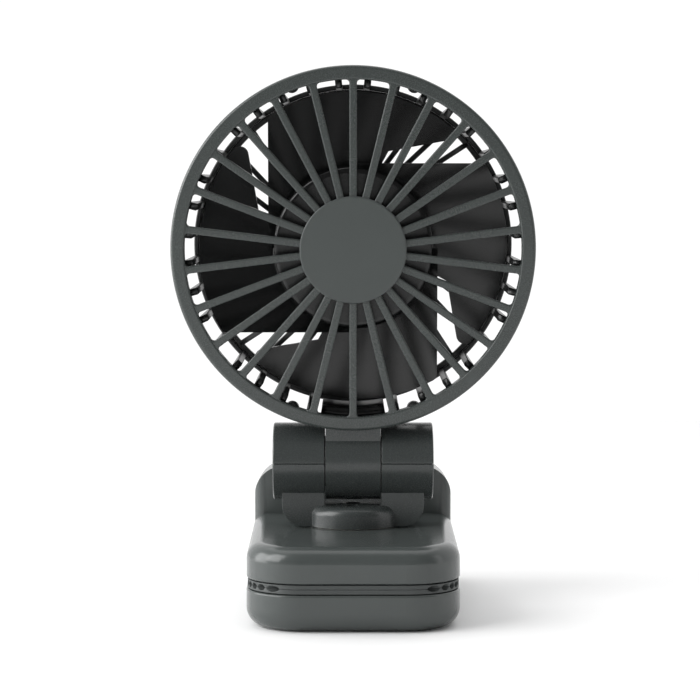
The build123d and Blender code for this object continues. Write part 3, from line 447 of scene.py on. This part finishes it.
# %% Helpers for geometry trees
def shape_group(name, inputs):
    """An empty geometry group with named sizes and a material."""
    tree = bpy.data.node_groups.new(name, "GeometryNodeTree")
    tree.interface.new_socket("Geometry", in_out="INPUT", socket_type="NodeSocketGeometry")
    for label, kind, value in inputs:
        socket = tree.interface.new_socket(label, in_out="INPUT", socket_type=kind)
        socket.default_value = value
    tree.interface.new_socket("Material", in_out="INPUT", socket_type="NodeSocketMaterial")
    tree.interface.new_socket("Geometry", in_out="OUTPUT", socket_type="NodeSocketGeometry")
    return tree, tree.nodes.new("NodeGroupInput"), tree.nodes.new("NodeGroupOutput")


def close_tree(tree, start, end, geometry):
    """Realize the instances, shade and give the material."""
    real = add(tree, "GeometryNodeRealizeInstances", Geometry=geometry)
    shaded = add(tree, "GeometryNodeSetShadeSmooth", Geometry=real.outputs[0])
    fill(shaded, Shade_Smooth=True)
    coated = add(tree, "GeometryNodeSetMaterial", Geometry=shaded.outputs[0])
    tree.links.new(start.outputs["Material"], coated.inputs["Material"])
    tree.links.new(coated.outputs[0], end.inputs["Geometry"])


def grow(name, tree, material, sizes, seed_mesh, place):
    """Evaluate a tree on a mesh and keep the result as a plain mesh in the frame's space."""
    seed = put(name + "_seed", seed_mesh)
    live = seed.modifiers.new("Grow", "NODES")
    live.node_group = tree
    known = {item.name: item.identifier for item in tree.interface.items_tree
             if item.in_out == "INPUT"}
    live[known["Material"]] = material
    for label, value in sizes.items():
        live[known[label]] = value
    bpy.context.view_layer.update()
    ready = seed.evaluated_get(bpy.context.evaluated_depsgraph_get())
    data = bpy.data.meshes.new_from_object(ready)
    bpy.data.objects.remove(seed)
    data.name = name
    data.materials.clear()
    data.materials.append(material)
    data.polygons.foreach_set("material_index", [0] * len(data.polygons))
    data.transform(place)
    print(name, "has", len(data.polygons), "faces")
    return put(name, data)


def tidy_normals(piece):
    """Merge doubles and point every face outwards."""
    work = bmesh.new()
    work.from_mesh(piece.data)
    bmesh.ops.remove_doubles(work, verts=work.verts, dist=MERGE)
    bmesh.ops.recalc_face_normals(work, faces=work.faces)
    work.to_mesh(piece.data)
    work.free()


def spots_round(tree, count):
    """A point on the axis for each copy, and the angle by which that copy is turned."""
    spots = add(tree, "GeometryNodeMeshLine", Count=count, Offset=(0, 0, 0))
    index = add(tree, "GeometryNodeInputIndex").outputs[0]
    turn = calc(tree, "DIVIDE", calc(tree, "MULTIPLY", index, 2 * math.pi), count)
    return spots.outputs[0], turn


def stand_for(piece, body, slot, *parts):
    """Let a piece ride on its body in place of frame parts."""
    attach(piece, body)
    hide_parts(*parts)


print("geometry helpers:", ", ".join(helper.__name__ for helper in (
    shape_group, close_tree, grow, tidy_normals, spots_round, stand_for)))

# %% [markdown]
# ## Rounded sections
# The bars and the rings of the fan have rounded corners. A smooth-shaded flat face next to a round
# would look swollen, so each round gets one more point a hair outside each of its ends, called a
# support. It holds the flat face flat and keeps the highlight on the corner.


# %% Outlines with rounded corners
SUPPORT = 0.03 * MM
EDGE = 0.42 * MM


def rounded_bar(width, depth, radius, steps=4):
    """Outline of a bar's section with rounded corners, as points round its middle."""
    points = []
    for corner in range(4):
        turn = math.pi / 2 * corner
        across = (width / 2 - radius) * (1 if corner in (0, 3) else -1)
        along = (depth / 2 - radius) * (1 if corner in (0, 1) else -1)
        first = (radius * math.cos(turn), radius * math.sin(turn))
        last = (-first[1], first[0])
        points.append((across + first[0] - SUPPORT * last[0] / radius,
                       along + first[1] - SUPPORT * last[1] / radius))
        for step in range(steps + 1):
            angle = turn + math.pi / 2 * step / steps
            points.append((across + radius * math.cos(angle), along + radius * math.sin(angle)))
        points.append((across + last[0] - SUPPORT * first[0] / radius,
                       along + last[1] - SUPPORT * first[1] / radius))
    return points


def make_bar_mesh(name, width, depth, radius, length, rings, crowd):
    """A bar along +Y whose cross-sections crowd towards its far end."""
    outline = rounded_bar(width, depth, radius)
    count = len(outline)
    verts, faces = [], []
    for ring in range(rings + 1):
        along = length * (1 - (1 - ring / rings) ** crowd)
        verts += [(x, along, z) for x, z in outline]
    for ring in range(rings):
        for i in range(count):
            a, b = ring * count + i, ring * count + (i + 1) % count
            faces.append((a, a + count, b + count, b))
    faces.append(tuple(range(count)))
    faces.append(tuple(rings * count + i for i in reversed(range(count))))
    data = bpy.data.meshes.new(name)
    data.from_pydata(verts, [], faces)
    return data


def rounded_profile(inner, outer, front, back, round_out, round_in, steps=5):
    """Section of a ring: rounded front corners, small rounds behind."""
    rear = EDGE / 3
    points = []
    for cx, cz, radius, first in (
        (outer - round_out, front + round_out, round_out, 0.0),
        (inner + round_in, front + round_in, round_in, math.pi / 2),
        (inner + rear, back - rear, rear, math.pi),
        (outer - rear, back - rear, rear, 1.5 * math.pi),
    ):
        begin = (math.cos(first), -math.sin(first))
        leave = (-math.sin(first), -math.cos(first))
        points.append((cx + radius * begin[0] - SUPPORT * leave[0],
                       cz + radius * begin[1] - SUPPORT * leave[1]))
        for step in range(steps + 1):
            angle = first + math.pi / 2 * step / steps
            points.append((cx + radius * math.cos(angle), cz - radius * math.sin(angle)))
        points.append((cx + radius * leave[0] - SUPPORT * begin[0],
                       cz + radius * leave[1] - SUPPORT * begin[1]))
    return points


def lathe(name, profile, steps=180):
    """Turn a closed profile of (radius, depth) points round the fan's axis."""
    verts, faces = [], []
    count = len(profile)
    for step in range(steps):
        angle = 2 * math.pi * step / steps
        verts += [(r * math.sin(angle), r * math.cos(angle), z) for r, z in profile]
    for step in range(steps):
        after = (step + 1) % steps
        for i in range(count):
            j = (i + 1) % count
            faces.append((step * count + i, after * count + i, after * count + j, step * count + j))
    data = bpy.data.meshes.new(name)
    data.from_pydata(verts, [], faces)
    smooth(data)
    return data


print("a bar's section has", len(rounded_bar(2 * MM, 2 * MM, EDGE)), "points")

# %% [markdown]
# ## The front grille
# On the real fan the ring, its straight spokes and the seat in the middle are one moulding. Every
# spoke is the same, so one is drawn and turned round the axis. Its section is a flat bar with
# rounded edges, and where it meets the ring it flares in a small fillet, which the mould needs so
# that the plastic flows and the corner doesn't crack. The flare is a formula on the distance to
# the ring, so the fillet stays round whatever the spoke's length.

# %% Sizes of the grille
SPOKES = 26
SPOKE_WIDTH = 2.2 * MM
SPOKE_DEPTH = 2.6 * MM
RING_WIDTH = 4.05 * MM
RING_DEPTH = 3.1 * MM
RING_INNER = RING_RADIUS - RING_WIDTH
CAP_RADIUS = 15.5 * MM
FILLET = 1.15 * MM
FILLET_SINK = 0.05 * MM
RECESS = 0.3 * MM
SPOKE_START = CAP_RADIUS * 0.8
SPOKE_RINGS = 40
SPOKE_CROWD = 3.0
RING_ROUND_OUT = 1.0 * MM
RING_ROUND_IN = 0.45 * MM
SEAT_HOLE = 0.1 * MM
SEAT_FRONT = 0.85 * MM
SEAT_RADIUS = CAP_RADIUS - 0.3 * MM
print(SPOKES, "spokes of", round(SPOKE_WIDTH / MM, 2), "mm in a ring", round(RING_WIDTH / MM, 2), "mm wide")


# %% Grille tree
def grille_tree():
    """Turn one spoke round the axis, and flare it where it nears the ring."""
    tree, start, end = shape_group("Turned spokes", [
        ("Count", "NodeSocketInt", 12), ("Hub Radius", "NodeSocketFloat", 0.01),
        ("Ring Radius", "NodeSocketFloat", 0.05), ("Fillet", "NodeSocketFloat", 0.001),
        ("Half Width", "NodeSocketFloat", 0.001),
    ])
    moved = add(tree, "GeometryNodeTransform", Geometry=start.outputs["Geometry"])
    shift = add(tree, "ShaderNodeCombineXYZ", Y=start.outputs["Hub Radius"])
    tree.links.new(shift.outputs[0], moved.inputs["Translation"])
    place = add(tree, "GeometryNodeInputPosition").outputs[0]
    parts = add(tree, "ShaderNodeSeparateXYZ", i0=place)
    sum_of_squares = calc(tree, "ADD", squared(tree, parts.outputs["X"]), squared(tree, parts.outputs["Y"]))
    radius = calc(tree, "SQRT", sum_of_squares)
    fillet = start.outputs["Fillet"]
    away = calc(tree, "MAXIMUM", calc(tree, "SUBTRACT", start.outputs["Ring Radius"], radius), 0.0)
    near = calc(tree, "MAXIMUM", calc(tree, "SUBTRACT", fillet, away), 0.0)
    square = calc(tree, "SUBTRACT", squared(tree, fillet), squared(tree, near))
    flare = calc(tree, "SUBTRACT", fillet, calc(tree, "SQRT", calc(tree, "MAXIMUM", square, 0.0)))
    widen = calc(tree, "ADD", calc(tree, "DIVIDE", flare, start.outputs["Half Width"]), 1.0)
    wide = add(tree, "ShaderNodeCombineXYZ", X=calc(tree, "MULTIPLY", parts.outputs["X"], widen),
               Y=parts.outputs["Y"], Z=parts.outputs["Z"])
    shaped = add(tree, "GeometryNodeSetPosition", Geometry=moved.outputs[0], Position=wide.outputs[0])
    spots, turn = spots_round(tree, start.outputs["Count"])
    spin_by = add(tree, "ShaderNodeCombineXYZ", Z=turn)
    copies = add(tree, "GeometryNodeInstanceOnPoints", Points=spots, Instance=shaped.outputs[0],
                 Rotation=spin_by.outputs[0])
    close_tree(tree, start, end, copies.outputs[0])
    return tree


SPOKE_TREE = grille_tree()
print(SPOKE_TREE.name, "has", len(SPOKE_TREE.nodes), "nodes")


# %% Make the grille
def join(name, *pieces):
    """Join pieces into one object."""
    work = bmesh.new()
    for piece in pieces:
        work.from_mesh(piece.data)
    materials = list(pieces[0].data.materials)
    data = bpy.data.meshes.new(name)
    work.to_mesh(data)
    work.free()
    for material in materials:
        data.materials.append(material)
    smooth(data)
    for piece in pieces:
        bpy.data.objects.remove(piece)
    return put(name, data)


def solid(name, data, material):
    """An object from a mesh drawn in the fan's space."""
    data.transform(fan_space)
    made = put(name, data)
    dress(made, material)
    tidy_normals(made)
    return made


def make_grille():
    """Ring, spokes and hub seat."""
    grey = finish["grille_grey"]
    length = RING_INNER + RING_WIDTH / 3 - SPOKE_START
    bar = make_bar_mesh("spoke", SPOKE_WIDTH, SPOKE_DEPTH, EDGE, length, SPOKE_RINGS, SPOKE_CROWD)
    bar.transform(Matrix.Translation((0, 0, SPOKE_DEPTH / 2 + RECESS)))
    spokes = grow("spokes", SPOKE_TREE, grey, {
        "Count": SPOKES, "Hub Radius": SPOKE_START, "Ring Radius": RING_INNER + FILLET_SINK,
        "Fillet": FILLET, "Half Width": SPOKE_WIDTH / 2,
    }, bar, fan_space)
    ring_section = rounded_profile(RING_INNER, RING_RADIUS, 0.0, RING_DEPTH, RING_ROUND_OUT, RING_ROUND_IN)
    ring = solid("ring", lathe("ring", ring_section), grey)
    seat = solid("seat", lathe("seat", [
        (SEAT_HOLE, SEAT_FRONT), (CAP_RADIUS - 1.2 * MM, SEAT_FRONT), (SEAT_RADIUS, 0.35 * MM),
        (SEAT_RADIUS, SPOKE_DEPTH - 0.3 * MM), (CAP_RADIUS - 0.8 * MM, SPOKE_DEPTH),
        (SEAT_HOLE, SPOKE_DEPTH)]), grey)
    whole = join("grille", ring, spokes, seat)
    stand_for(whole, "head", "grille_grey", "front_grille")
    print("grille of", len(whole.data.polygons), "faces")


make_grille()


# %% [markdown]
# ## The cage behind it
# The rear cage is a basket: ribs run back from the collar along the side, and a disc of slanted
# ribs closes the back round the motor's cup. Both sets repeat, so both are turned copies of one
# rounded bar. The slant is more than style: it spreads the blades' passing pulse, which makes the
# fan quieter.

# %% Sizes of the cage
CAGE_RIBS = 36
CAGE_DEPTH = 29.5 * MM
WALL_OUTER = RING_INNER - 0.65 * MM
CAGE_WALL = 1.5 * MM
CAGE_INNER = WALL_OUTER - CAGE_WALL
RIB_WIDTH = 2.0 * MM
BACK_RIB_WIDTH = 1.6 * MM
BACK_RIB_DEPTH = 1.8 * MM
COLLAR_RADIUS = RING_RADIUS - 0.4 * MM
COLLAR_INNER = COLLAR_RADIUS - 3.0 * MM
COLLAR_END = 8.0 * MM
RIB_START = RING_DEPTH + 0.6 * MM
CUP_RADIUS = 19.5 * MM
CUP_DEPTH = 6.0 * MM
CUP_WALL = 1.6 * MM
SLANT = math.radians(12.0)
HALF_PITCH = math.pi / CAGE_RIBS
RIB_ROUND = 0.35 * MM
BACK_RIB_ROUND = 0.4 * MM
RING_ROUND = 0.4 * MM
SMALL_ROUND = 0.3 * MM
REAR_RING_DEPTH = 2.6 * MM
LAP = 0.2 * MM
BOSS_RADIUS = 2.1 * MM
SADDLE_HALF_WIDTH = 9.3 * MM
SADDLE_LENGTH = 16.8 * MM
print(CAGE_RIBS, "side ribs and as many back ribs, slanted by", round(math.degrees(SLANT)), "degrees")


# %% Screw bosses of the cage
def rod_mesh(radius, start, end, place, steps=24):
    """A short rod that runs along the fan's axis, at a place beside it."""
    verts, faces = [], []
    for step in range(steps):
        angle = 2 * math.pi * step / steps
        verts += [(place[0] + radius * math.cos(angle), place[1] + radius * math.sin(angle), depth)
                  for depth in (start, end)]
    for step in range(steps):
        a, b = 2 * step, 2 * ((step + 1) % steps)
        faces.append((a, b, b + 1, a + 1))
    faces += [tuple(range(0, 2 * steps, 2)), tuple(range(1, 2 * steps, 2))]
    data = bpy.data.meshes.new("rod")
    data.from_pydata(verts, [], faces)
    return data


in_fan = fan_space.inverted()
screw_places = [(in_fan @ middle(box)).to_2d() for box in solids_of("grille_screws")]
FARTHEST = COLLAR_RADIUS - BOSS_RADIUS
screw_places = [place * min(1.0, FARTHEST / place.length) for place in screw_places]
print("grille screws at", [round(place.length / MM, 2) for place in screw_places], "mm from the axis")


# %% Cage tree
def turned_tree():
    """Turn the given mesh round the axis, leaving out copies near the bottom if asked."""
    tree, start, end = shape_group("Turned copies", [
        ("Count", "NodeSocketInt", 36), ("First Turn", "NodeSocketFloat", 0.0),
        ("Gap Below", "NodeSocketFloat", 0.0),
    ])
    spots, turn = spots_round(tree, start.outputs["Count"])
    turn = calc(tree, "ADD", turn, start.outputs["First Turn"])
    below = calc(tree, "ABSOLUTE", calc(tree, "SUBTRACT", turn, math.pi))
    keep = calc(tree, "GREATER_THAN", below, start.outputs["Gap Below"])
    spin_by = add(tree, "ShaderNodeCombineXYZ", Z=turn)
    copies = add(tree, "GeometryNodeInstanceOnPoints", Points=spots, Selection=keep,
                 Instance=start.outputs["Geometry"], Rotation=spin_by.outputs[0])
    close_tree(tree, start, end, copies.outputs[0])
    return tree


TURNED = turned_tree()
print(TURNED.name, "has", len(TURNED.nodes), "nodes")


# %% Make the cage
def saddle_wall(outer, far, steps=10):
    """Curved wall over the neck."""
    half = math.asin(SADDLE_HALF_WIDTH / WALL_OUTER)
    inner, near = CAGE_INNER + LAP, RIB_START
    verts, faces = [], []
    for step in range(steps + 1):
        angle = math.pi - half + 2 * half * step / steps
        for radius, depth in ((inner, near), (outer, near), (outer, far), (inner, far)):
            verts.append((radius * math.sin(angle), radius * math.cos(angle), depth))
    for step in range(steps):
        for i in range(4):
            a, b = 4 * step + i, 4 * step + (i + 1) % 4
            faces.append((a, a + 4, b + 4, b))
    faces += [(0, 1, 2, 3), tuple(4 * steps + i for i in (3, 2, 1, 0))]
    data = bpy.data.meshes.new("saddle")
    data.from_pydata(verts, [], faces)
    return solid("saddle", data, finish["cage_black"])


def side_rib():
    """One side rib, drafted so that its outer face leans out towards the collar."""
    bar = make_bar_mesh("side_rib", RIB_WIDTH, CAGE_WALL, RIB_ROUND, CAGE_DEPTH - RIB_START, 12, 1.0)
    bar.transform(Matrix.Rotation(math.pi / 2, 4, "X"))
    bar.transform(Matrix.Translation((0, CAGE_INNER + CAGE_WALL / 2, RIB_START)))
    draft = COLLAR_INNER + LAP - WALL_OUTER
    for vertex in bar.vertices:
        flare = draft * min(1.0, (CAGE_DEPTH - vertex.co.z) / (CAGE_DEPTH - COLLAR_END))
        vertex.co.y += flare * (vertex.co.y - CAGE_INNER) / CAGE_WALL
    return bar


def make_cage():
    """Side ribs, collar, rear ring, screw bosses and the wall above the neck."""
    black = finish["cage_black"]
    ribs = grow("side_ribs", TURNED, black, {
        "Count": CAGE_RIBS, "First Turn": HALF_PITCH, "Gap Below": 1.5 * HALF_PITCH,
    }, side_rib(), fan_space)
    collar_section = rounded_profile(COLLAR_INNER, COLLAR_RADIUS, RING_DEPTH, COLLAR_END,
                                     SMALL_ROUND, SMALL_ROUND)
    collar = solid("collar", lathe("collar", collar_section), black)
    ring_section = rounded_profile(CAGE_INNER, WALL_OUTER, CAGE_DEPTH - REAR_RING_DEPTH, CAGE_DEPTH,
                                   RING_ROUND, RING_ROUND)
    ring = solid("rear_ring", lathe("rear_ring", ring_section), black)
    wall = saddle_wall(WALL_OUTER, RIB_START + SADDLE_LENGTH)
    step = saddle_wall(COLLAR_INNER + LAP, COLLAR_END - LAP)
    bosses = [solid("boss", rod_mesh(BOSS_RADIUS, RING_DEPTH, COLLAR_END, place), black)
              for place in screw_places]
    whole = join("cage_basket", ribs, collar, ring, wall, step, *bosses)
    stand_for(whole, "head", "cage_black", "rear_cage")
    print("cage of", len(whole.data.polygons), "faces with", len(bosses), "screw bosses")


make_cage()

# %% [markdown]
# ## The guard across the back
# The guard closes the cage and carries the motor in a cup at its middle. Its slanted ribs are
# turned copies like the side ribs, and each end is buried a little: one in the rim, one in the
# cup's wall.


# %% Make the guard
RIM_WIDTH = 1.6 * MM
RIM_GAP = 0.05 * MM
FLUSH = 0.02 * MM
CUP_LAP = 0.7 * MM
RIM_LAP = 0.8 * MM
TUBE_RADIUS = 3.3 * MM
TUBE_WALL = 1.6 * MM
TUBE_LENGTH = 4.2 * MM
CUP_CHAMFER = 0.6 * MM


def make_guard():
    """Slanted back ribs, rim and motor cup."""
    black = finish["cage_black"]
    inner, outer = CUP_RADIUS - CUP_LAP, CAGE_INNER - RIM_LAP
    length = (outer - inner) / math.cos(SLANT)
    rib_middle = CAGE_DEPTH - BACK_RIB_DEPTH / 2 - FLUSH
    bar = make_bar_mesh("back_rib", BACK_RIB_WIDTH, BACK_RIB_DEPTH, BACK_RIB_ROUND, length, 2, 1.0)
    bar.transform(Matrix.Translation((0, -length / 2, 0)))
    bar.transform(Matrix.Rotation(SLANT, 4, "Z"))
    bar.transform(Matrix.Translation((0, (inner + outer) / 2, rib_middle)))
    ribs = grow("back_ribs", TURNED, black, {
        "Count": CAGE_RIBS, "First Turn": HALF_PITCH, "Gap Below": -1.0}, bar, fan_space)
    rim_outer = CAGE_INNER - RIM_GAP
    rim_section = rounded_profile(rim_outer - RIM_WIDTH, rim_outer, CAGE_DEPTH - BACK_RIB_DEPTH,
                                  CAGE_DEPTH, SMALL_ROUND, SMALL_ROUND)
    rim = solid("rim", lathe("rim", rim_section), black)
    front, back = CAGE_DEPTH - CUP_DEPTH, CAGE_DEPTH
    cup = solid("cup", lathe("cup", [
        (CUP_RADIUS, front), (CUP_RADIUS - CUP_WALL, front), (CUP_RADIUS - CUP_WALL, back - CUP_WALL),
        (TUBE_RADIUS + TUBE_WALL, back - CUP_WALL), (TUBE_RADIUS + TUBE_WALL, back - TUBE_LENGTH),
        (TUBE_RADIUS, back - TUBE_LENGTH), (TUBE_RADIUS, back), (CUP_RADIUS - CUP_CHAMFER, back),
        (CUP_RADIUS, back - CUP_CHAMFER)]), black)
    whole = join("back_guard", rim, ribs, cup)
    stand_for(whole, "head", "cage_black", "rear_guard")
    print("guard of", len(whole.data.polygons), "faces")


make_guard()

# %% [markdown]
# ## Softening moulded edges
# No moulded edge is truly sharp: the tool's corner has a small radius, and that radius is what
# catches the light. The frame's smaller shells have crisp edges, so each is copied, its doubled
# points merged and its flat faces cleared of spare edges, and it is bevelled where two faces meet
# at an angle. Weighted normals then keep the large faces flat.


# %% Bevelled copies of frame parts
SOFT_EDGE = 0.2 * MM
BUTTON_EDGE = 0.15 * MM
SKIN_MERGE = 2e-6
SAME_PLANE = math.radians(0.5)
CORNER = math.radians(35.0)


def soften(part, body, width, steps=3):
    """A bevelled copy of a frame part, in its place."""
    data = frame["nodes"][part].data.copy()
    made = put(part + "_skin", data)
    work = bmesh.new()
    work.from_mesh(data)
    bmesh.ops.remove_doubles(work, verts=work.verts, dist=SKIN_MERGE)
    bmesh.ops.dissolve_limit(work, angle_limit=SAME_PLANE, verts=work.verts, edges=work.edges)
    work.to_mesh(data)
    work.free()
    smooth(data)
    edge = made.modifiers.new("Edge", "BEVEL")
    edge.width = width
    edge.segments = steps
    edge.limit_method = "ANGLE"
    edge.angle_limit = CORNER
    edge.harden_normals = True
    edge.miter_outer = "MITER_ARC"
    flat = made.modifiers.new("Normals", "WEIGHTED_NORMAL")
    flat.keep_sharp = True
    stand_for(made, body, slot_of[part], part)
    return made


YOKE_SHELLS = ("yoke_body", "right_barrel_cover", "left_barrel_cover", "right_end_cap", "left_end_cap")
HEAD_SHELLS = ("neck_arm", "neck_rear_cover", "grille_centre_cap")
for part in YOKE_SHELLS:
    soften(part, "yoke", SOFT_EDGE)
for part in HEAD_SHELLS:
    soften(part, "head", SOFT_EDGE)
soften("hump_rear_cover", "base", SOFT_EDGE)
soften("speed_button", "speed_button", BUTTON_EDGE)
print(len(YOKE_SHELLS) + len(HEAD_SHELLS) + 2, "shells softened")

# %% [markdown]
# ## The grip pads and the blades
# The ribbed rubber pads are glued into the jaws. A glued edge never meets its seat perfectly, and
# the fine dark line round it is what tells the eye that the pad is a separate piece, so the glued
# face is drawn back a little. The blades get a slightly narrower round, because they are thin.


# %% Pads and blades
PAD_EDGE = 0.12 * MM
BLADE_EDGE = 0.18 * MM
PAD_SHADOW = 0.28 * MM
SAME_LEVEL = 0.02 * MM


def seat_pad(part, body, gap):
    """A pad's copy, its glued face drawn back so that a thin shadow separates it from its jaw."""
    made = soften(part, body, PAD_EDGE, steps=2)
    low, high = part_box(part)
    glued = high.z if gap > 0 else low.z
    for vertex in made.data.vertices:
        if abs(vertex.co.z - glued) < SAME_LEVEL:
            vertex.co.z -= gap


seat_pad("upper_grip_pad", "base", PAD_SHADOW)
seat_pad("lower_grip_pad", "lower_jaw", -PAD_SHADOW)
soften("impeller", "rotor", BLADE_EDGE, steps=2)
print("pads drawn back by", round(PAD_SHADOW / MM, 2), "mm")
